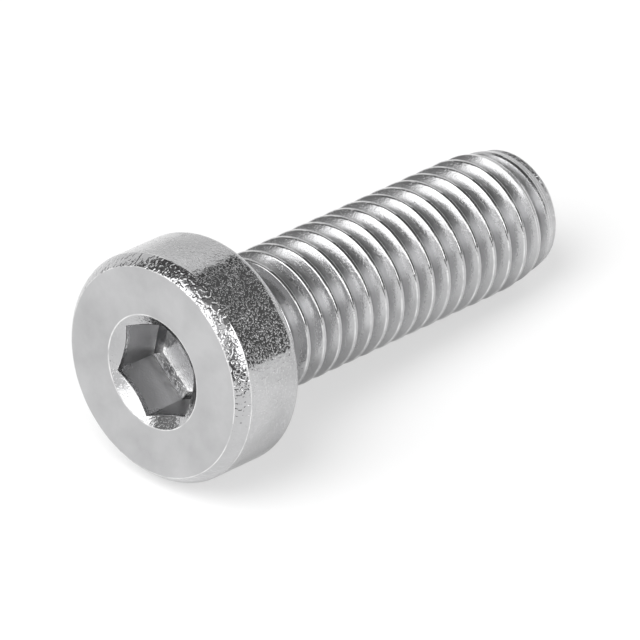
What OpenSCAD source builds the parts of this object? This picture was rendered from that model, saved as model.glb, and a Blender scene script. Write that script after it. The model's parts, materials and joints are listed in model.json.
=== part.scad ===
// Low-head hex socket cap screw, threaded to the head, lying as it comes to rest:
// the rear edge of the head and the last full thread crest touch the ground at z = 0.

/* [Head] */
// Diameter of the head
head_d = 13; // [12.4:0.1:14]
// Height of the head, from its face to the bearing face
head_h = 4.8; // [4.4:0.1:6]
// Diameter of the flat face
face_d = 11.95; // [11.2:0.05:12.3]
// Height of the bevel round the face
bevel_h = 0.8; // [0.4:0.05:1.2]
// How far the bevel swells outside a straight cone
bevel_swell = 0.06; // [0.02:0.01:0.12]
// Rounding of the edge between the side and the bearing face
rear_round = 0.4; // [0.2:0.05:0.7]

/* [Socket] */
// Width across the flats of the socket
socket_flats = 5.05; // [4.4:0.05:5.4]
// Depth of the socket's upright walls
socket_depth = 3; // [2.4:0.05:3.2]
// Width across the flats of the socket's floor
floor_flats = 4.4; // [3.4:0.05:4.4]
// Depth of the bevel between the walls and the floor
floor_bevel = 0.42; // [0.2:0.02:0.7]
// Diameter of the countersink at the face
entry_d = 6.5; // [6.4:0.05:7]
// Depth that the countersink's cone would have at its centre
entry_cone = 2.1; // [1.6:0.05:2.3]
// Turn of the socket about the screw's axis
socket_turn = 7; // [0:1:59]

/* [Shank] */
// Length under the head
length = 24.4; // [18:0.2:32]
// Diameter over the thread crests
thread_d = 7.9; // [7.5:0.05:8.2]
// Pitch of the thread
pitch = 1.25; // [1.25:0.05:1.5]
// Distance from the face to where a crest would first lie at the underside
first_crest = 0.94; // [0.1:0.02:1.24]
// Diameter of the neck between the head and the thread
neck_d = 7.16; // [6.9:0.02:7.3]
// Length of the neck
neck_h = 1.1; // [0.8:0.1:2]
// Rounding between the neck and the bearing face
neck_round = 0.4; // [0.2:0.05:0.6]
// Length over which the thread grows out of the neck
runout = 1.2; // [0.6:0.1:2]
// Length of the tapered point
point_h = 3.18; // [2.4:0.02:4]
// Diameter of the point where its taper ends
point_d = 6.4; // [6:0.05:6.6]
// Diameter of the flat end
end_d = 5.8; // [5:0.1:5.9]
// Length of the bevel between the taper and the flat end
end_bevel = 0.25; // [0.15:0.05:0.5]

/* [Hidden] */
$fn = 96;

// Steel, as bright as the photographed screw
steel = "#c9cacc";

head_r = head_d / 2;
face_r = face_d / 2;
neck_r = neck_d / 2;
crest_r = thread_d / 2;
tip = head_h + length;

// The bevel is drawn as cones between points on a shallow arc
bevel_steps = 4;

// A 60 degree thread: flat crests an eighth of a pitch wide and a rounded root
crest_half = pitch / 16;
thread_depth = 0.6134 * pitch;
root_r = crest_r - thread_depth;
root_side = 0.385 * pitch;
root_side_r = crest_r - (root_side - crest_half) / tan(30);

// Facets round one turn, and rows over one pitch
turn_facets = 32;
rows = 5;

// The thread's facets start half of one from the underside, and the head's seam a little beside it,
// so that the screw rests on flats and not on corners
thread_turn = 180 / turn_facets;
head_turn = 2.6;

// The threaded body starts inside the neck, a hair slimmer than it
inset = 0.3;
hair = 0.02;
thread_start = head_h + neck_h - inset;
fade_start = head_h + neck_h;
turns = ceil((tip - thread_start) / pitch) + 2;
first_turn = floor((thread_start - first_crest) / pitch) - 1;

// Rows nearer than this to an end are drawn at the end
row_gap = 0.02;

// Where the last full crest touches the ground, along the axis
last_full = tip - point_h;
last_crest = first_crest + crest_half + pitch * floor((last_full - first_crest - crest_half) / pitch);

// The lean that puts the head's rear edge and the last full crest on one level
rest_run = last_crest - (head_h - rear_round);
rest_rise = head_r - rear_round - crest_r;
tilt = atan2(rest_rise, rest_run) + asin(rear_round / norm([rest_run, rest_rise]));
face_height = last_crest * sin(tilt) + crest_r * cos(tilt);

// Half way between the lowest point of the face and the highest point of the flat end
mid_x = (tip * cos(tilt) + end_d / 2 * sin(tilt) - face_r * sin(tilt)) / 2;

function mix(a, b, t) = a + (b - a) * t;
function clamp(v, low, high) = min(max(v, low), high);
function smooth(t) = t * t * (3 - 2 * t);

// The bevel's points, from the face to the side
function bevel_point(t) =
    let (
        run = head_r - face_r,
        slope = norm([run, bevel_h]),
        swell = bevel_swell * 4 * t * (1 - t)
    )
    [face_r + run * t + bevel_h / slope * swell, bevel_h * t - run / slope * swell];

// Places of one pitch's rows along the axis, measured from the middle of a crest
row_places = [-crest_half, crest_half, root_side, pitch / 2, pitch - root_side];
row_radii = [crest_r, crest_r, root_side_r, root_r, root_side_r];

// Largest radius that the taper and the end bevel leave at a distance from the face
function envelope(z) =
    z < last_full ? crest_r
    : z < tip - end_bevel
        ? mix(crest_r, point_d / 2, (z - last_full) / (point_h - end_bevel))
        : mix(point_d / 2, end_d / 2, (z - tip + end_bevel) / end_bevel);

// The full thread's radius, grown out of the neck and cut by the envelope
function thread_radius(full, z) =
    let (
        grown = smooth(clamp((z - fade_start) / runout, 0, 1)),
        shaped = mix(neck_r - hair, full, grown)
    )
    min(shaped, envelope(z));

function row_z(column, row) =
    first_crest
    + pitch * (column / turn_facets + thread_turn / 360 + first_turn + floor(row / rows))
    + row_places[row % rows];

function row_count() = turns * rows + rows;

function low_row(column) =
    max([for (row = [0 : row_count()]) if (row_z(column, row) <= thread_start + row_gap) row]);

function high_row(column) =
    min([for (row = [0 : row_count()]) if (row_z(column, row) >= tip - row_gap) row]);

lows = [for (column = [0 : turn_facets - 1]) low_row(column)];
highs = [for (column = [0 : turn_facets - 1]) high_row(column)];

// One turn on, a column meets the first one, a pitch's rows further along
function vertex(column, row) =
    column == turn_facets
        ? vertex(0, row + rows)
        : column * (row_count() + 1) + clamp(row, lows[column], highs[column]);

function thread_point(column, row) =
    let (
        z = row <= lows[column] ? thread_start
            : row >= highs[column] ? tip
            : row_z(column, row),
        r = thread_radius(row_radii[row % rows], z),
        turn = 360 * column / turn_facets + thread_turn
    )
    [r * cos(turn), r * sin(turn), z];

function whole(face) = face[0] != face[1] && face[1] != face[2] && face[2] != face[0];

// The helical thread with its core, closed by a flat polygon at each end
module thread() {
    points = [
        for (column = [0 : turn_facets - 1], row = [0 : row_count()]) thread_point(column, row)
    ];
    skin = [
        for (column = [0 : turn_facets - 1], row = [0 : row_count() - rows - 1])
            for (face = [
                [vertex(column, row), vertex(column, row + 1), vertex(column + 1, row + 1)],
                [vertex(column, row), vertex(column + 1, row + 1), vertex(column + 1, row)],
            ])
                if (whole(face)) face
    ];
    start = [for (column = [0 : turn_facets - 1]) vertex(column, 0)];
    end = [for (column = [turn_facets - 1 : -1 : 0]) vertex(column, row_count())];
    polyhedron(points = points, faces = concat(skin, [start], [end]));
}

// Half section of the head and the neck
module head_section() {
    polygon(concat(
        [[0, 0]],
        [for (step = [0 : bevel_steps]) bevel_point(step / bevel_steps)],
        [
            [head_r, head_h - rear_round],
            [head_r - rear_round, head_h - rear_round],
            [head_r - rear_round, head_h],
            [neck_r, head_h],
            [neck_r, head_h + neck_h],
            [0, head_h + neck_h],
        ]
    ));
    translate([head_r - rear_round, head_h - rear_round]) circle(r = rear_round);
    translate([neck_r, head_h]) difference() {
        square(neck_round);
        translate([neck_round, neck_round]) circle(r = neck_round);
    }
}

// A six-sided recess with a bevelled floor and a round countersink at its mouth
module socket() {
    over = 0.5;
    rotate([0, 0, socket_turn]) {
        translate([0, 0, -over])
            cylinder(h = socket_depth + over, d = socket_flats / cos(30), $fn = 6);
        translate([0, 0, socket_depth - hair])
            cylinder(
                h = floor_bevel + hair,
                d1 = socket_flats / cos(30) - hair,
                d2 = floor_flats / cos(30),
                $fn = 6
            );
    }
    translate([0, 0, -over])
        cylinder(
            h = entry_cone + over,
            r1 = entry_d / 2 * (entry_cone + over) / entry_cone,
            r2 = 0
        );
}

// One forged and rolled piece, with its axis along +Z from the face's centre
module upright_screw() {
    difference() {
        rotate([0, 0, head_turn]) rotate_extrude() head_section();
        socket();
    }
    thread();
}

module cap_screw() {
    color(steel)
        translate([-mid_x, 0, face_height])
            rotate([0, 90 + tilt, 0])
                union() upright_screw();
}

cap_screw();
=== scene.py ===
"""Low head hex socket cap screw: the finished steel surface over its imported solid, on a pale studio floor."""

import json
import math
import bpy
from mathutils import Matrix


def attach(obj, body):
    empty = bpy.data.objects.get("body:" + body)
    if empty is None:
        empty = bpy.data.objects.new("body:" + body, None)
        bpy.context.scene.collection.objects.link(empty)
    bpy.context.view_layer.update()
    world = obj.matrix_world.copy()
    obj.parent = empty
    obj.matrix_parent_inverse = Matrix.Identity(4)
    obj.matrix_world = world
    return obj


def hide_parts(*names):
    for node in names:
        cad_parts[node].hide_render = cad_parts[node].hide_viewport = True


bl_info = {
    "name": "Low Head Cap Screw",
    "version": (1, 0, 0),
    "blender": (4, 5, 0),
    "location": "3D View > Sidebar > Screw",
    "description": "Builds a rolled cap screw's finished surface, its steel and its studio",
    "category": "Add Mesh",
}

import bmesh
import bpy
import numpy as np
from bpy.props import FloatProperty, FloatVectorProperty, IntProperty, PointerProperty, StringProperty
from bpy.types import Operator, Panel, PropertyGroup
from mathutils import Vector

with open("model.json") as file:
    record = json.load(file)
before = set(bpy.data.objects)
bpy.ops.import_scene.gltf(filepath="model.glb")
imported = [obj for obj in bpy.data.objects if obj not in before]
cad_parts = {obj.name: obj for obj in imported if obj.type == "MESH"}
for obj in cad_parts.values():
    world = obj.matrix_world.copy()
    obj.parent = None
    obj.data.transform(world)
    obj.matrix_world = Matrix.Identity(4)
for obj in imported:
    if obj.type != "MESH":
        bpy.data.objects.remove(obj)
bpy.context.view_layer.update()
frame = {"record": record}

MM = 0.001

# Depth of a rolled 60 degree thread with rounded roots, in pitches
THREAD_DEPTH = 0.6134

# Points nearer than this are one, and faces that meet at more than this angle don't shade as one
SAME_PLACE = 0.0005 * MM
SHARP_ANGLE = math.radians(32)

# What the steel sees in the room, each box painted over those before it. The angles are in degrees:
# clockwise from the view, above the horizon, half the width, half the height, and the soft edge. The last
# number is how bright the box is, where 1 is white.
ROOM_BOXES = (
    (20, 55, 75, 22, 8, 0.1),  # dark ceiling ahead
    (78, 22, 46, 24, 6, 0.14),  # dark side of the room at the right
    (-19, 2, 38, 34, 5, 0.98),  # white sweep behind the screw
    (25, -5, 48, 28, 5, 0.92),  # its right part
    (-128, 6, 36, 18, 8, 1.05),  # pale wall at the left
    (-76, 46, 12, 20, 6, 0.14),  # dark gap before the large soft box
    (-178, 32, 10, 11, 7, 0.8),  # grey wall behind the camera
    (164, 51, 13, 9, 6, 1.1),  # pale panel above it
    (-133, 42, 34, 19, 8, 2.4),  # large soft box at the left
    (160, 5, 27, 10, 5, 0.12),  # dark lower wall behind the camera
    (111, 7, 11, 10, 6, 1.4),  # pale patch low at the right
    (122, 29, 22, 14, 4, 3.0),  # soft box at the right
)

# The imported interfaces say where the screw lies
MOUNTS = {mount["name"]: mount for mount in frame["record"]["mounts"]}
FACE_CENTRE = np.array(MOUNTS["hex_socket"]["pos_m"])
ALONG = np.array(MOUNTS["thread"]["axis"])
ALONG = ALONG / np.linalg.norm(ALONG)
SIDEWAYS = np.array((0.0, 1.0, 0.0))
DOWNWARD = np.cross(SIDEWAYS, ALONG)


def length_property(name, description, millimetres):
    """A length shown in scene units and kept in metres."""
    return FloatProperty(
        name=name, description=description, default=millimetres * MM, min=0, precision=5, unit="LENGTH"
    )


def hex_property(name, description, default):
    """A colour as an sRGB hex string."""
    return StringProperty(name=name, description=description, default=default)


class CapScrewSizes(PropertyGroup):
    """Sizes of the screw's finished surface."""

    head_diameter: length_property("Head diameter", "Diameter of the head's side", 13)
    head_height: length_property("Head height", "From the face to the bearing face", 4.8)
    face_diameter: length_property("Face diameter", "Diameter of the flat face", 11.95)
    bevel_height: length_property("Bevel height", "Height of the bevel round the face", 0.8)
    bevel_swell: length_property("Bevel swell", "How far the bevel stands outside a cone", 0.06)
    rear_round: length_property("Rear round", "Rounding between the side and the bearing face", 0.65)
    edge_round: length_property("Edge round", "Rounding of the tumbled edges of the bevel", 0.09)
    socket_flats: length_property("Socket flats", "Width across the socket's flats", 5.05)
    socket_depth: length_property("Socket depth", "Depth of the socket's upright walls", 3.0)
    floor_flats: length_property("Floor flats", "Width across the flats of the socket's floor", 4.4)
    floor_bevel: length_property("Floor bevel", "Depth of the bevel round the floor", 0.42)
    entry_diameter: length_property("Entry diameter", "Diameter of the socket's countersink", 6.5)
    entry_cone: length_property("Entry cone", "Depth of the countersink's full cone", 2.1)
    socket_turn: FloatProperty(
        name="Socket turn",
        description="Turn of the socket about the screw's axis",
        default=math.radians(7),
        subtype="ANGLE",
    )
    length: length_property("Length", "Length under the head", 24.4)
    thread_diameter: length_property("Thread diameter", "Diameter over the crests", 7.9)
    pitch: length_property("Pitch", "Distance from crest to crest", 1.25)
    first_crest: length_property("First crest", "From the face to a crest at the underside", 0.94)
    neck_diameter: length_property("Neck diameter", "Diameter between the head and the thread", 7.16)
    neck_height: length_property("Neck height", "Length of the neck", 1.1)
    neck_round: length_property("Neck round", "Rounding between the neck and the bearing face", 0.4)
    runout: length_property("Run-out", "Length over which the thread grows out of the neck", 1.2)
    point_height: length_property("Point height", "Length of the tapered point", 3.8)
    point_diameter: length_property("Point diameter", "Diameter where the taper ends", 6.9)
    point_curve: FloatProperty(
        name="Point curve",
        description="How late the point's taper falls, 1 being a straight cone",
        default=1.5,
        min=1,
    )
    end_diameter: length_property("End diameter", "Diameter of the flat end", 5.8)
    end_bevel: length_property("End bevel", "Length of the bevel round the flat end", 0.55)
    columns: IntProperty(
        name="Columns", description="Facets round the axis, a multiple of six", default=174, min=24
    )


class SteelFinish(PropertyGroup):
    """Colour and grain of the steel."""

    colour: hex_property("Steel colour", "Colour of light off the bright steel", "#C1C1C2")
    # Painted highlight: this brighter colour draws bright lines along the head's edges, the crests' edges and
    # round the pits
    edge_highlight_colour: hex_property("Rubbed colour", "Colour of light off the rubbed edges", "#E6E6E6")
    # Painted shade: this darker colour darkens the corner round the socket's floor and the thread's roots
    recess_shade_colour: hex_property(
        "Scale colour", "Colour of light off the dark scale left in corners", "#6E6E70"
    )
    cloud_colour: hex_property(
        "Cloud colour", "Colour of light off the duller clouds in the steel's skin", "#B0B0B1"
    )
    roughness: FloatProperty(
        name="Roughness",
        description="Blur of the reflections where the steel is polished",
        default=0.05,
        min=0,
        max=1,
        subtype="FACTOR",
    )
    dull_roughness: FloatProperty(
        name="Dull roughness",
        description="Blur of the reflections in the socket's walls and the thread's roots",
        default=0.3,
        min=0,
        max=1,
        subtype="FACTOR",
    )
    pit: length_property("Pit", "Width of one fine pit", 0.12)
    pit_height: length_property("Pit height", "Depth of the fine pits", 0.022)
    grain: length_property("Grain", "Width of one dent of the tumbled skin", 0.26)
    grain_height: length_property("Grain height", "Depth of the deepest dents", 0.044)


class StudioSettings(PropertyGroup):
    """The camera, the floor and the light."""

    azimuth: FloatProperty(
        name="Azimuth", description="Direction of the camera", default=math.radians(-47.04), subtype="ANGLE"
    )
    elevation: FloatProperty(
        name="Elevation", description="Height of the camera", default=math.radians(34.19), subtype="ANGLE"
    )
    distance: length_property("Distance", "From the camera to the face's plane, along the view", 520)
    face_pixel: FloatVectorProperty(
        name="Face pixel",
        description="Where the middle of the face lies in the 640 pixel picture",
        size=2,
        default=(152.27, 372.51),
        subtype="NONE",
    )
    focal_pixels: FloatProperty(
        name="Focal length in pixels", description="Focal length of the 640 pixel picture", default=9755.6
    )
    floor_colour: hex_property("Floor colour", "Colour of the pale floor", "#F4F4F4")
    own_white: FloatProperty(
        name="Own white",
        description="Share of the floor's white that no shadow takes away",
        default=0.55,
        min=0,
        max=1,
        subtype="FACTOR",
    )
    dim_room: FloatProperty(
        name="Dim room",
        description="How bright the steel sees the room between the boxes",
        default=0.3,
        min=0,
    )
    fill: FloatProperty(
        name="Fill",
        description="How bright the room lights matt surfaces from all sides",
        default=0.36,
        min=0,
    )
    key_power: FloatProperty(
        name="Key power", description="Power of the key lamp", default=10.3, min=0, unit="POWER"
    )
    key_width: length_property("Key width", "Diameter of the key lamp", 800)
    key_reach: length_property("Key reach", "From the middle of the floor to the key lamp", 1000)
    key_bearing: FloatProperty(
        name="Key bearing",
        description="Direction of the key lamp, clockwise from the view",
        default=math.radians(-138),
        subtype="ANGLE",
    )
    key_height: FloatProperty(
        name="Key height",
        description="Height of the key lamp above the horizon",
        default=math.radians(56),
        subtype="ANGLE",
    )


def settings():
    """The scene's own settings of this file."""
    scene = bpy.context.scene
    return scene.cap_screw_sizes, scene.cap_screw_steel, scene.cap_screw_studio


def linear(hex_colour):
    """An sRGB hex colour as linear red, green, blue and alpha."""
    parts = [int(hex_colour[i : i + 2], 16) / 255 for i in (1, 3, 5)]
    return tuple(p / 12.92 if p <= 0.04045 else ((p + 0.055) / 1.055) ** 2.4 for p in parts) + (1.0,)


def add_node(tree, kind, values=None, **attributes):
    """Adds a node, sets its attributes, and sets or links the inputs named or numbered in values."""
    node = tree.nodes.new(kind)
    for name, value in attributes.items():
        setattr(node, name, value)
    for key, value in (values or {}).items():
        if isinstance(value, bpy.types.NodeSocket):
            tree.links.new(value, node.inputs[key])
        else:
            node.inputs[key].default_value = value
    return node


def blank_material(name):
    """A material and its empty node tree."""
    material = bpy.data.materials.new(name)
    material.use_nodes = True
    material.node_tree.nodes.clear()
    return material, material.node_tree


def arc_points(centre, radius, start, end, steps):
    """Points of an arc: the centre plus the radius times the cosine and sine of evenly spaced angles."""
    angles = np.radians(np.linspace(start, end, steps))
    return [(centre[0] + radius * math.cos(a), centre[1] + radius * math.sin(a)) for a in angles]


def rounded(corner, before, after, radius, steps=6):
    """A corner cut back along both its sides and bridged by a quadratic curve.

    A point lies close to each end of the curve, so that the shading bends at the corner only.
    """
    corner, before, after = (np.array(p, float) for p in (corner, before, after))
    back = (before - corner) / np.linalg.norm(before - corner)
    on = (after - corner) / np.linalg.norm(after - corner)
    start, end = corner + back * radius, corner + on * radius
    t = np.linspace(0, 1, steps)[:, None]
    curve = (1 - t) ** 2 * start + 2 * t * (1 - t) * corner + t**2 * end
    margin = radius * 0.25
    return [tuple(start + back * margin)] + [tuple(p) for p in curve] + [tuple(end + on * margin)]


def smooth_less(a, b, width):
    """The lesser of a and b, with their crossing rounded over a width."""
    reach = np.maximum(width - np.abs(a - b), 0) / width
    return np.minimum(a, b) - reach * reach * width / 4


def soft_step(value):
    """Runs from 0 to 1 with a level start and end."""
    value = np.clip(value, 0, 1)
    return value * value * (3 - 2 * value)


def hexagon_radius(turns, flats, first_corner):
    """Radius of a hexagon at each angle: half its flats over the cosine of the angle from a flat's middle."""
    sixth = math.pi / 3
    from_middle = np.mod(turns - first_corner, sixth) - sixth / 2
    return flats / 2 / np.cos(from_middle)


def thread_depth_at(offset, pitch):
    """Depth of a rolled 60 degree thread below its crests, at distances from a crest's middle.

    The depth grows by the root of three times the distance past the flat crest, is rounded where it
    leaves the crest, and is rounded again where it meets the root.
    """
    crest_half, crest_round, root_round = pitch / 13, 0.06 * pitch, 0.12 * pitch
    flank = (np.abs(offset) - crest_half) * math.sqrt(3)
    shaped = -smooth_less(-flank, np.zeros_like(flank), crest_round)
    return smooth_less(shaped, np.full_like(flank, THREAD_DEPTH * pitch), root_round)


def pitches_from_crest(z, turns, s):
    """How many pitches along the axis a point lies from the nearest crest's middle, from -0.5 to 0.5."""
    return np.mod((z - s.first_crest) / s.pitch - turns / (2 * math.pi) + 0.5, 1) - 0.5


def sunk_share(radius, s):
    """How deep a radius lies in the thread: 0 at the crests and 1 at the roots."""
    return np.clip((s.thread_diameter / 2 - radius) / (THREAD_DEPTH * s.pitch), 0, 1)


def envelope_radius(z, s):
    """Largest radius at a distance from the face: the crests, then a taper by a power of the way along it."""
    taper_start = s.head_height + s.length - s.point_height
    part = np.clip((z - taper_start) / (s.point_height - s.end_bevel), 0, 1)
    return s.thread_diameter / 2 + (s.point_diameter - s.thread_diameter) / 2 * part**s.point_curve


def socket_rows(turns, s):
    """Rows from the middle of the socket's floor, up its walls and out to the countersink's edge.

    The countersink is a cone: its distance from the face falls evenly from its middle to its edge.
    """
    floor_z = s.socket_depth + s.floor_bevel
    floor = hexagon_radius(turns, s.floor_flats, s.socket_turn)
    wall = hexagon_radius(turns, s.socket_flats, s.socket_turn)
    mouth = s.entry_diameter / 2
    slope = s.entry_cone / mouth
    lip_z = (mouth - wall) * slope
    hair, edge = 0.01 * MM, 0.03 * MM
    bottom = s.socket_depth - edge
    flat = np.ones_like(turns)
    rows = [(floor * part, flat * floor_z) for part in (0.0, 0.35, 0.7, 0.9, 0.985)]
    rows += [(floor * 1.012, flat * (floor_z - hair)), (wall * 0.985, flat * (s.socket_depth + edge))]
    rows += [(wall * 0.997, flat * s.socket_depth), (wall, flat * bottom)]
    rows += [(wall, bottom + (lip_z + 2 * edge - bottom) * part) for part in (0.3, 0.6, 0.9, 1.0)]
    rows.append((wall + hair, lip_z + hair))
    for part in (0.06, 0.12, 0.5, 0.88):
        radius = wall + (mouth - wall) * part
        rows.append((radius, (mouth - radius) * slope))
    return rows


def head_profile(s):
    """The half section from the countersink's edge to the neck, over the face, bevel, side and bearing face.

    The bevel is a straight cone swollen by a parabola that is highest at its middle.
    """
    mouth, face, side = s.entry_diameter / 2, s.face_diameter / 2, s.head_diameter / 2
    neck, rear_z = s.neck_diameter / 2, s.head_height - s.rear_round
    run = side - face
    slope = math.hypot(run, s.bevel_height)
    entry = rounded((mouth, 0), (mouth - MM, MM * s.entry_cone / mouth), (face, 0), 0.05 * MM)
    face_rows = [(mouth + (face - mouth) * part, 0.0) for part in (0.25, 0.5, 0.75)]
    bevel = []
    for part in np.linspace(0, 1, 9):
        swell = s.bevel_swell * 4 * part * (1 - part)
        out, down = s.bevel_height / slope * swell, run / slope * swell
        bevel.append((face + run * part + out, s.bevel_height * part - down))
    face_edge = rounded(bevel[0], (mouth, 0), bevel[1], s.edge_round * 0.8)
    side_edge = rounded(bevel[-1], bevel[-2], (side, s.head_height), s.edge_round)
    side_rows = [(side, s.bevel_height + (rear_z - s.bevel_height) * part) for part in (0.3, 0.6, 0.97)]
    rear = arc_points((side - s.rear_round, rear_z), s.rear_round, 0, 90, 12)
    bearing = [(side - s.rear_round - 0.05 * MM, s.head_height), ((side + neck) / 2, s.head_height)]
    inner = arc_points((neck + s.neck_round, s.head_height + s.neck_round), s.neck_round, 270, 180, 8)
    neck_rows = [(neck, s.head_height + s.neck_height)]
    front = entry + face_rows + face_edge + bevel[2:-2] + side_edge + side_rows
    return front + rear + bearing + inner + neck_rows


def thread_rows(turns, s):
    """Helical rows: each keeps one place in the thread's profile and climbs a pitch a turn.

    A point's distance from the face is the first crest's, plus a pitch for each whole turn and its share of
    this one, plus its row's place in the profile. Rows that pass an end are held at it.
    """
    start = s.head_height + s.neck_height
    end = s.head_height + s.length - s.end_bevel - 0.12 * MM
    cut_round, closing_length = 0.03 * MM, 0.4 * MM
    half = [0.03, 0.05, 0.07, 0.09, 0.115, 0.24, 0.36, 0.395, 0.42, 0.445]
    places = np.array([-p for p in reversed(half)] + half + [0.5]) * s.pitch
    first = math.floor((start - s.first_crest) / s.pitch) - 2
    count = math.ceil((end - start) / s.pitch) + 4
    climbed = first + np.repeat(np.arange(count), len(places))[:, None] + turns / (2 * math.pi)
    z = s.first_crest + s.pitch * climbed + np.tile(places, count)[:, None]
    z = np.clip(z, start, end)
    # The profile is read where the point ends up, so a held point lies on the thread's own surface
    depth = thread_depth_at(pitches_from_crest(z, turns, s) * s.pitch, s.pitch)
    neck = s.neck_diameter / 2
    grown = soft_step((z - start) / s.runout)
    shaped = neck + (s.thread_diameter / 2 - depth - neck) * grown
    limit = envelope_radius(z, s)
    cut = smooth_less(shaped, limit, cut_round)
    closing = soft_step((end - z) / closing_length)
    return limit + (cut - limit) * closing, z, len(places)


def end_profile(s):
    """The half section from the taper's end, over the bevel, to the middle of the flat end."""
    tip = s.head_height + s.length
    rim, flat = (s.point_diameter / 2, tip - s.end_bevel), (s.end_diameter / 2, tip)
    edge = rounded(rim, (rim[0], rim[1] - MM), flat, 0.08 * MM)[1:]
    corner = rounded(flat, rim, (0, tip), 0.06 * MM)
    return edge + corner + [(flat[0] * part, tip) for part in (0.6, 0.3, 0.0)]


def ring_faces(low, high, rows, columns):
    """Quads that join the rows from low on to as many rows from high on, closed round the columns."""
    row = np.arange(rows)[:, None]
    column = np.arange(columns)
    after = (column + 1) % columns
    first, second = (low + row) * columns, (high + row) * columns
    return np.stack([first + column, first + after, second + after, second + column], -1).reshape(-1, 4)


def helical_faces(low, rows, columns, period):
    """Quads of the rows from low on: past the last column a row goes on as the one a whole turn later."""
    row = low + np.arange(rows - period - 1)[:, None]
    column = np.arange(columns)
    after = (column + 1) % columns
    climb = np.where(column == columns - 1, period, 0)
    first, second = row * columns, (row + 1) * columns
    raised = climb * columns + after
    return np.stack([first + column, first + raised, second + raised, second + column], -1).reshape(-1, 4)


def screw_surface(s):
    """The whole skin as one closed grid: socket, head and neck, then the helical rows, then the flat end.

    A point at an angle, a radius and a distance from the face lies at the face's centre plus the distance
    along the axis, plus the radius times the angle's cosine downward and its sine sideways.
    """
    columns = s.columns
    turns = s.socket_turn + 2 * math.pi * np.arange(columns) / columns

    def whole_rings(profile):
        """Rows of a half section, each the same at every angle."""
        return [(np.full(columns, r), np.full(columns, z)) for r, z in profile]

    front = np.array(socket_rows(turns, s) + whole_rings(head_profile(s)))
    thread_radius, thread_z, period = thread_rows(turns, s)
    end = np.array(whole_rings(end_profile(s)))
    radius = np.concatenate([front[:, 0], thread_radius, end[:, 0]])
    z = np.concatenate([front[:, 1], thread_z, end[:, 1]])
    points = (
        FACE_CENTRE
        + z[..., None] * ALONG
        + (radius * np.cos(turns))[..., None] * DOWNWARD
        + (radius * np.sin(turns))[..., None] * SIDEWAYS
    )
    fronts, threads, ends = len(front), len(thread_z), len(end)
    past = fronts + threads
    faces = [
        ring_faces(0, 1, fronts - 1, columns),
        helical_faces(fronts, threads, columns, period),
        ring_faces(past, past + 1, ends - 1, columns),
        ring_faces(fronts - 1, fronts, 1, columns),
        ring_faces(past - 1 - period, past, 1, columns),
    ]
    dents, pits, dull = skin_marks(radius, z, s)
    marks = {
        "dents": dents,
        "pits": pits,
        "dull": dull,
        # Where a painted highlight brightens the edges
        "edge_highlight": painted_edge_highlights(radius, z, turns, s),
        # Where a painted shade darkens the recesses
        "recess_shade": painted_recess_shade(radius, z, s),
    }
    return points.reshape(-1, 3), np.concatenate(faces), {k: marks[k].reshape(-1) for k in marks}


def skin_marks(radius, z, s):
    """How deeply each place is dented, how densely it is pitted, and how dull it is.

    The bevel and the tip's rim are dented most, the side and the socket's floor are pitted most, and the face
    is nearly clean. The socket's punched walls are dull, and the thread grows duller from its crests to its
    roots.
    """
    tip, hair = s.head_height + s.length, 0.01 * MM
    thread_dull = 0.1 + 1.4 * sunk_share(radius, s) ** 0.9
    at_end = (z > tip - hair) & (radius < s.end_diameter / 2 - 0.05 * MM)
    at_rim = z > tip - s.end_bevel - 0.3 * MM
    past_head = z >= s.head_height + 0.3 * MM
    inside = radius < s.entry_diameter / 2 - 0.02 * MM
    on_floor = inside & (z > s.socket_depth + s.floor_bevel - 0.02 * MM)
    on_floor_bevel = inside & (z > s.socket_depth - hair)
    on_wall = inside & (z > 0.6 * MM)
    on_face = (z < hair) & (radius < s.face_diameter / 2 - 0.05 * MM)
    # Each place, taken from the first that fits, with its dents, pits and dullness
    places = [
        (at_end, 0.1, 0.3, 0.4),
        (at_rim, 0.6, 0.5, 1.0),
        (past_head, 0.03, 0.2, thread_dull),
        (on_floor, 0.05, 0.7, 0.2),
        (on_floor_bevel, 0.03, 0.1, 0.15),
        (on_wall, 0.03, 0.1, 1.0),
        (inside, 0.12, 0.3, 0.0),
        (on_face, 0.015, 0.04, 0.0),
        (z < s.bevel_height - 0.03 * MM, 0.55, 0.2, 0.0),
        (z < s.head_height - hair, 0.08, 1.0, 0.0),
    ]
    elsewhere = 0.2
    where = [place[0] for place in places]
    return tuple(np.select(where, [place[i] for place in places], elsewhere) for i in (1, 2, 3))


def on_thread(z, s):
    """True between the neck and the bevel at the tip."""
    return (z > s.head_height + s.neck_height) & (z < s.head_height + s.length - s.end_bevel - 0.15 * MM)


def painted_recess_shade(radius, z, s):
    """1 where a painted shade darkens the corner round the socket's floor, and up to 0.5 at the bottom of the
    thread.
    """
    inside = radius < s.entry_diameter / 2 - 0.02 * MM
    corner_start, corner_end = s.socket_depth + 0.02 * MM, s.socket_depth + s.floor_bevel - 0.005 * MM
    corner = inside & (z > corner_start) & (z < corner_end)
    in_root = 0.5 * soft_step((sunk_share(radius, s) - 0.8) / 0.12)
    return np.where(corner, 1.0, np.where(on_thread(z, s), in_root, 0.0))


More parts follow.
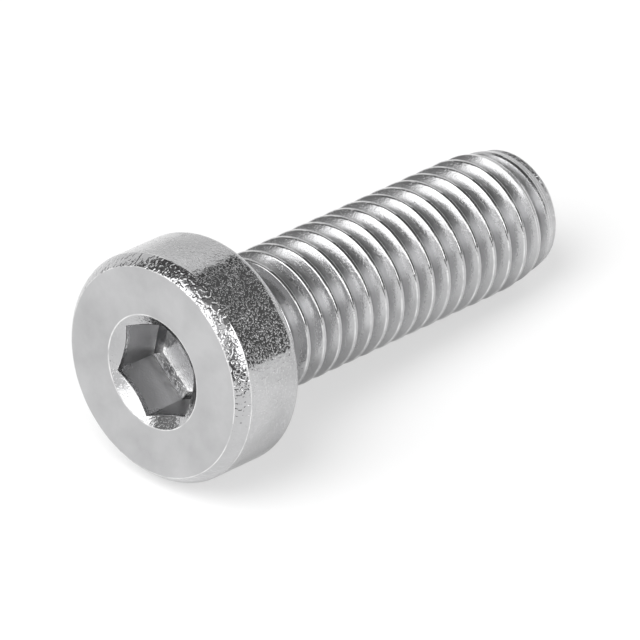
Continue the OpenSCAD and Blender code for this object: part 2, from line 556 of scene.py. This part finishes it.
def painted_edge_highlights(radius, z, turns, s):
    """1 where a painted highlight brightens an edge: the head's edges and the edges of the thread's crests."""
    near, crest_edge, crest_near = 0.035 * MM, 0.08, 0.025
    mouth, tip = s.entry_diameter / 2, s.head_height + s.length
    wall = hexagon_radius(turns, s.socket_flats, s.socket_turn)
    floor = hexagon_radius(turns, s.floor_flats, s.socket_turn)
    edges = [
        (mouth, 0),
        (s.face_diameter / 2, 0),
        (s.head_diameter / 2, s.bevel_height),
        (s.point_diameter / 2, tip - s.end_bevel),
        (s.end_diameter / 2, tip),
        (wall, (mouth - wall) * s.entry_cone / mouth),
        (wall, s.socket_depth),
    ]
    at_edge = [np.hypot(radius - r, z - depth) < near for r, depth in edges]
    at_edge.append(np.hypot(radius - floor, z - s.socket_depth - s.floor_bevel) < near * 1.6)
    from_crest = np.abs(pitches_from_crest(z, turns, s))
    at_edge.append((np.abs(from_crest - crest_edge) < crest_near) & on_thread(z, s))
    return np.where(np.any(at_edge, axis=0), 1.0, 0.0)


def build_mesh(name, points, faces, marks):
    """Puts a grid into a mesh, merges the points that coincide, and checks that it is closed."""
    mesh = bpy.data.meshes.new(name)
    mesh.vertices.add(len(points))
    mesh.vertices.foreach_set("co", points.astype(np.float32).reshape(-1))
    mesh.loops.add(faces.size)
    mesh.loops.foreach_set("vertex_index", faces.astype(np.int32).reshape(-1))
    mesh.polygons.add(len(faces))
    mesh.polygons.foreach_set("loop_start", np.arange(0, faces.size, 4, dtype=np.int32))
    mesh.update(calc_edges=True)
    for mark, values in marks.items():
        mesh.attributes.new(mark, "FLOAT", "POINT").data.foreach_set("value", values.astype(np.float32))
    work = bmesh.new()
    work.from_mesh(mesh)
    bmesh.ops.remove_doubles(work, verts=work.verts, dist=SAME_PLACE)
    open_edges = sum(1 for edge in work.edges if len(edge.link_faces) != 2)
    if open_edges:
        raise RuntimeError(f"{name} has {open_edges} edges that don't join two faces")
    work.to_mesh(mesh)
    work.free()
    mesh.shade_smooth()
    mesh.set_sharp_from_angle(angle=SHARP_ANGLE)
    mesh.update()
    return mesh


def cold_forged_steel(steel):
    """Bright cold-forged steel, tumbled after forging and rolled on the thread.

    Forging presses the head against polished dies, so it is a clean mirror. Tumbling dents it, deepest on the
    bevel, and pits it: even reflections stay smooth, and dark ones fill with bright flecks, which a painted
    glint round the pits brightens further. The rolling dies polish the thread's crests and frost its roots, so
    that a crest shows a sharp bright line and the flanks below it broad soft bands. A painted highlight
    brightens the head's edges and the crests' edges, and a painted shade darkens the corner round the socket's
    floor and the thread's roots. The real pits are finer than a twentieth of a millimetre, and are drawn
    coarser so that they show.
    """
    material, tree = blank_material("cold_forged_steel")
    place = add_node(tree, "ShaderNodeTexCoord").outputs["Object"]

    def mark(name):
        """One of the marks that the mesh carries."""
        return add_node(tree, "ShaderNodeAttribute", attribute_name=name).outputs["Fac"]

    def noise(width, detail, rough):
        """Noise whose features are about a width across."""
        values = {"Vector": place, "Scale": 1 / width, "Detail": detail, "Roughness": rough}
        return add_node(tree, "ShaderNodeTexNoise", values).outputs["Fac"]

    def ranged(value, low, high, bottom, top, **more):
        """A value's span from low to high, carried to the span from bottom to top."""
        values = {"Value": value, "From Min": low, "From Max": high, "To Min": bottom, "To Max": top}
        return add_node(tree, "ShaderNodeMapRange", values, **more).outputs["Result"]

    def combined(operation, *values):
        """Two or three values in one sum."""
        return add_node(tree, "ShaderNodeMath", dict(enumerate(values)), operation=operation).outputs[0]

    def bumped(height, distance, strength, **below):
        """A relief of a height, over any that is below it."""
        values = {"Height": height, "Distance": distance, "Strength": strength, **below}
        return add_node(tree, "ShaderNodeBump", values).outputs["Normal"]

    def mixed(share, base, over):
        """A colour over another by a share."""
        values = {"Factor": share, 6: base, 7: over}
        return add_node(tree, "ShaderNodeMix", values, data_type="RGBA").outputs[2]

    # Forging leaves waves about a millimetre wide that bend the reflections a little
    waves = bumped(noise(1.1 * MM, 1.0, 0.5), 0.002 * MM, 1.0)
    dents = ranged(noise(steel.grain, 1.0, 0.5), 0.36, 0.56, 0.0, 1.0, interpolation_type="SMOOTHSTEP")
    dented = bumped(dents, steel.grain_height, mark("dents"), Normal=waves)
    # Pits finer than the dents throw bright light off their rims, which shows in dark reflections only
    pits = ranged(noise(steel.pit, 0.0, 0.5), 0.53, 0.62, 0.0, 1.0, interpolation_type="SMOOTHSTEP")
    clusters = ranged(noise(0.9 * MM, 2.0, 0.6), 0.4, 0.56, 0.4, 1.0)
    clustered = combined("MULTIPLY", clusters, mark("pits"))
    pitted = combined("MULTIPLY", pits, clustered)
    skin_normal = bumped(pits, steel.pit_height, clustered, Normal=dented)
    # The socket's punched walls and the rolled thread's roots are dull, and a pit is a little duller
    finish = ranged(mark("dull"), 0.0, 1.0, steel.roughness, steel.dull_roughness)
    blur = combined("MULTIPLY_ADD", pitted, 0.15, finish)
    # The skin is cloudy, a painted shade darkens its recesses, and a painted highlight brightens its edges,
    # broken up in places
    cloud = ranged(noise(3.0 * MM, 4.0, 0.55), 0.32, 0.68, 1.0, 0.0)
    skin = mixed(cloud, linear(steel.colour), linear(steel.cloud_colour))
    # Painted shade: a darker colour in the corner round the socket's floor and in the thread's roots
    skin = mixed(mark("recess_shade"), skin, linear(steel.recess_shade_colour))
    uneven = ranged(noise(0.9 * MM, 2.0, 0.5), 0.35, 0.6, 0.15, 1.0)
    # Painted highlight: a brighter colour along the edges, broken up by noise, and at a quarter round the pits
    # as painted glints
    edges = combined("MULTIPLY", mark("edge_highlight"), uneven)
    painted_pit_glints = combined("MULTIPLY", pitted, 0.25)
    colour = mixed(combined("MAXIMUM", edges, painted_pit_glints), skin, linear(steel.edge_highlight_colour))
    shader = add_node(
        tree,
        "ShaderNodeBsdfPrincipled",
        {"Base Color": colour, "Metallic": 1.0, "Roughness": blur, "Normal": skin_normal},
    )
    add_node(tree, "ShaderNodeOutputMaterial", {"Surface": shader.outputs["BSDF"]})
    return material


def studio_paper(studio):
    """Matt white paper, which scatters light evenly.

    The camera sees part of it by its own white and the rest by the light on it, so that it stays white round
    a light shadow. The steel sees half as much of its own white, so the shadow shows deeper in it.
    """
    material, tree = blank_material("matt_white_paper")
    paper = add_node(
        tree,
        "ShaderNodeBsdfPrincipled",
        {"Base Color": linear(studio.floor_colour), "Roughness": 0.9, "Specular IOR Level": 0.1},
    )
    white = add_node(tree, "ShaderNodeEmission", {"Color": (1, 1, 1, 1), "Strength": 1.0})
    rays = add_node(tree, "ShaderNodeLightPath").outputs
    seen = add_node(
        tree,
        "ShaderNodeMath",
        {0: rays["Is Glossy Ray"], 1: 0.5, 2: rays["Is Camera Ray"]},
        operation="MULTIPLY_ADD",
    )
    share = add_node(tree, "ShaderNodeMath", {0: seen.outputs[0], 1: studio.own_white}, operation="MULTIPLY")
    mixed = add_node(
        tree,
        "ShaderNodeMixShader",
        {0: share.outputs[0], 1: paper.outputs["BSDF"], 2: white.outputs["Emission"]},
    )
    add_node(tree, "ShaderNodeOutputMaterial", {"Surface": mixed.outputs["Shader"]})
    return material


def view_directions(studio):
    """The camera's level right and forward directions, and its own back and up directions."""
    a, e = studio.azimuth, studio.elevation
    right = Vector((math.cos(a), math.sin(a), 0))
    forward = Vector((-math.sin(a), math.cos(a), 0))
    back = Vector((math.sin(a) * math.cos(e), -math.cos(a) * math.cos(e), math.sin(e)))
    return right, forward, back, back.cross(right)


def studio_direction(studio, bearing, height):
    """A direction given by its angles clockwise from the view and above the horizon."""
    right, forward, _, _ = view_directions(studio)
    level = forward * math.cos(bearing) + right * math.sin(bearing)
    return level * math.cos(height) + Vector((0, 0, 1)) * math.sin(height)


class CAPSCREW_OT_screw(Operator):
    """Build the screw's finished surface in place of the plain solid"""

    bl_idname = "capscrew.screw"
    bl_label = "Screw"

    def execute(self, context):
        sizes, steel, _ = settings()
        points, faces, marks = screw_surface(sizes)
        mesh = build_mesh("finished_screw", points, faces, marks)
        mesh.materials.append(cold_forged_steel(steel))
        piece = bpy.data.objects.new("finished_screw", mesh)
        context.scene.collection.objects.link(piece)
        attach(piece, "root")
        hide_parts("cap_screw")
        return {"FINISHED"}


class CAPSCREW_OT_studio(Operator):
    """Lay the pale floor and light the room round it"""

    bl_idname = "capscrew.studio"
    bl_label = "Studio"

    def execute(self, context):
        _, _, studio = settings()
        self.lay_floor(context, studio)
        self.light_room(context, studio)
        self.hang_key(context, studio)
        return {"FINISHED"}

    def lay_floor(self, context, studio):
        """A level sheet much wider than the view."""
        half = 3.0
        corners = [(-half, -half, 0), (half, -half, 0), (half, half, 0), (-half, half, 0)]
        mesh = bpy.data.meshes.new("floor")
        mesh.from_pydata(corners, [], [(0, 1, 2, 3)])
        mesh.materials.append(studio_paper(studio))
        floor = bpy.data.objects.new("floor", mesh)
        context.scene.collection.objects.link(floor)

    def light_room(self, context, studio):
        """A dim room that only the steel sees, with a white sweep behind the screw and soft boxes."""
        world = bpy.data.worlds.new("studio_room")
        context.scene.world = world
        world.use_nodes = True
        tree = world.node_tree
        tree.nodes.clear()
        toward = add_node(tree, "ShaderNodeTexCoord").outputs["Generated"]
        forward = view_directions(studio)[1]
        ahead = math.atan2(forward.y, forward.x)

        def worked(operation, *values):
            """One, two or three values in one sum."""
            return add_node(tree, "ShaderNodeMath", dict(enumerate(values)), operation=operation).outputs[0]

        def mixed(share, below, above):
            """A value over another by a share."""
            values = {0: share, 2: below, 3: above}
            return add_node(tree, "ShaderNodeMix", values, data_type="FLOAT").outputs[0]

        def band(value, middle, half, edge):
            """1 within half of the middle, and 0 an edge further out."""
            away = worked("ABSOLUTE", worked("SUBTRACT", value, middle))
            values = {"Value": away, "From Min": half + edge, "From Max": half}
            eased = add_node(tree, "ShaderNodeMapRange", values, interpolation_type="SMOOTHSTEP")
            return eased.outputs["Result"]

        def box(below, bearing, middle, half_width, half_height, edge, level):
            """Paints a soft-edged box over what is below it."""
            values = {"Vector": toward, "Angle": bearing - ahead}
            turned = add_node(tree, "ShaderNodeVectorRotate", values, rotation_type="Z_AXIS").outputs[0]
            parts = add_node(tree, "ShaderNodeSeparateXYZ", {0: turned}).outputs
            across = band(worked("ARCTAN2", parts["Y"], parts["X"]), 0, half_width, edge)
            along = band(height, middle, half_height, edge)
            return mixed(worked("MULTIPLY", across, along), below, level)

        height = worked("ARCSINE", add_node(tree, "ShaderNodeSeparateXYZ", {0: toward}).outputs["Z"])
        room = add_node(tree, "ShaderNodeValue").outputs[0]
        room.default_value = studio.dim_room
        for *angles, level in ROOM_BOXES:
            room = box(room, *(math.radians(angle) for angle in angles), level)
        rays = add_node(tree, "ShaderNodeLightPath").outputs
        seen = mixed(rays["Is Diffuse Ray"], room, studio.fill)
        # The camera sees plain white round the floor
        strength = mixed(rays["Is Camera Ray"], seen, 1.0)
        background = add_node(tree, "ShaderNodeBackground", {"Color": (1, 1, 1, 1), "Strength": strength})
        add_node(tree, "ShaderNodeOutputWorld", {"Surface": background.outputs["Background"]})

    def hang_key(self, context, studio):
        """One large lamp up at the left of the camera, which throws the head's soft shadow along the shank.

        The steel doesn't reflect it, since the painted soft box stands for it there.
        """
        lamp = bpy.data.lights.new("key_lamp", "AREA")
        lamp.shape = "DISK"
        lamp.size = studio.key_width
        lamp.energy = studio.key_power
        hung = bpy.data.objects.new("key_lamp", lamp)
        direction = studio_direction(studio, studio.key_bearing, studio.key_height)
        hung.location = direction * studio.key_reach
        hung.rotation_mode = "QUATERNION"
        hung.rotation_quaternion = direction.to_track_quat("Z", "Y")
        hung.visible_glossy = False
        context.scene.collection.objects.link(hung)


class CAPSCREW_OT_camera(Operator):
    """Set the camera where the photograph was taken from"""

    bl_idname = "capscrew.camera"
    bl_label = "Camera"

    def execute(self, context):
        _, _, studio = settings()
        right, _, back, up = view_directions(studio)
        picture = 640
        across, down = (value - picture / 2 for value in studio.face_pixel)
        depth = studio.distance
        offset = right * (across * depth / studio.focal_pixels) - up * (down * depth / studio.focal_pixels)
        data = bpy.data.cameras.new("camera")
        data.sensor_fit = "HORIZONTAL"
        data.sensor_width = 36
        data.lens = studio.focal_pixels / picture * data.sensor_width
        data.clip_start, data.clip_end = 0.01, 20
        camera = bpy.data.objects.new("camera", data)
        camera.location = Vector(FACE_CENTRE) - offset + back * depth
        camera.rotation_mode = "QUATERNION"
        camera.rotation_quaternion = back.to_track_quat("Z", "Y")
        context.scene.collection.objects.link(camera)
        context.scene.camera = camera
        context.scene.view_settings.view_transform = "Standard"
        return {"FINISHED"}


class CAPSCREW_PT_sidebar(Panel):
    """Lists the screw's operators"""

    bl_label = "Cap Screw"
    bl_idname = "CAPSCREW_PT_sidebar"
    bl_space_type = "VIEW_3D"
    bl_region_type = "UI"
    bl_category = "Screw"

    def draw(self, context):
        for operator in OPERATORS:
            self.layout.operator(operator.bl_idname)


GROUPS = (CapScrewSizes, SteelFinish, StudioSettings)
OPERATORS = (CAPSCREW_OT_camera, CAPSCREW_OT_screw, CAPSCREW_OT_studio)


def register():
    """Registers the classes and gives the scene its settings."""
    for item in GROUPS + OPERATORS + (CAPSCREW_PT_sidebar,):
        bpy.utils.register_class(item)
    bpy.types.Scene.cap_screw_sizes = PointerProperty(type=CapScrewSizes)
    bpy.types.Scene.cap_screw_steel = PointerProperty(type=SteelFinish)
    bpy.types.Scene.cap_screw_studio = PointerProperty(type=StudioSettings)


def unregister():
    """Takes the settings and the classes away again."""
    del bpy.types.Scene.cap_screw_studio
    del bpy.types.Scene.cap_screw_steel
    del bpy.types.Scene.cap_screw_sizes
    for item in reversed(GROUPS + OPERATORS + (CAPSCREW_PT_sidebar,)):
        bpy.utils.unregister_class(item)


def main():
    """Builds everything."""
    register()
    bpy.ops.capscrew.camera()
    bpy.ops.capscrew.screw()
    bpy.ops.capscrew.studio()


if __name__ == "__main__":
    main()
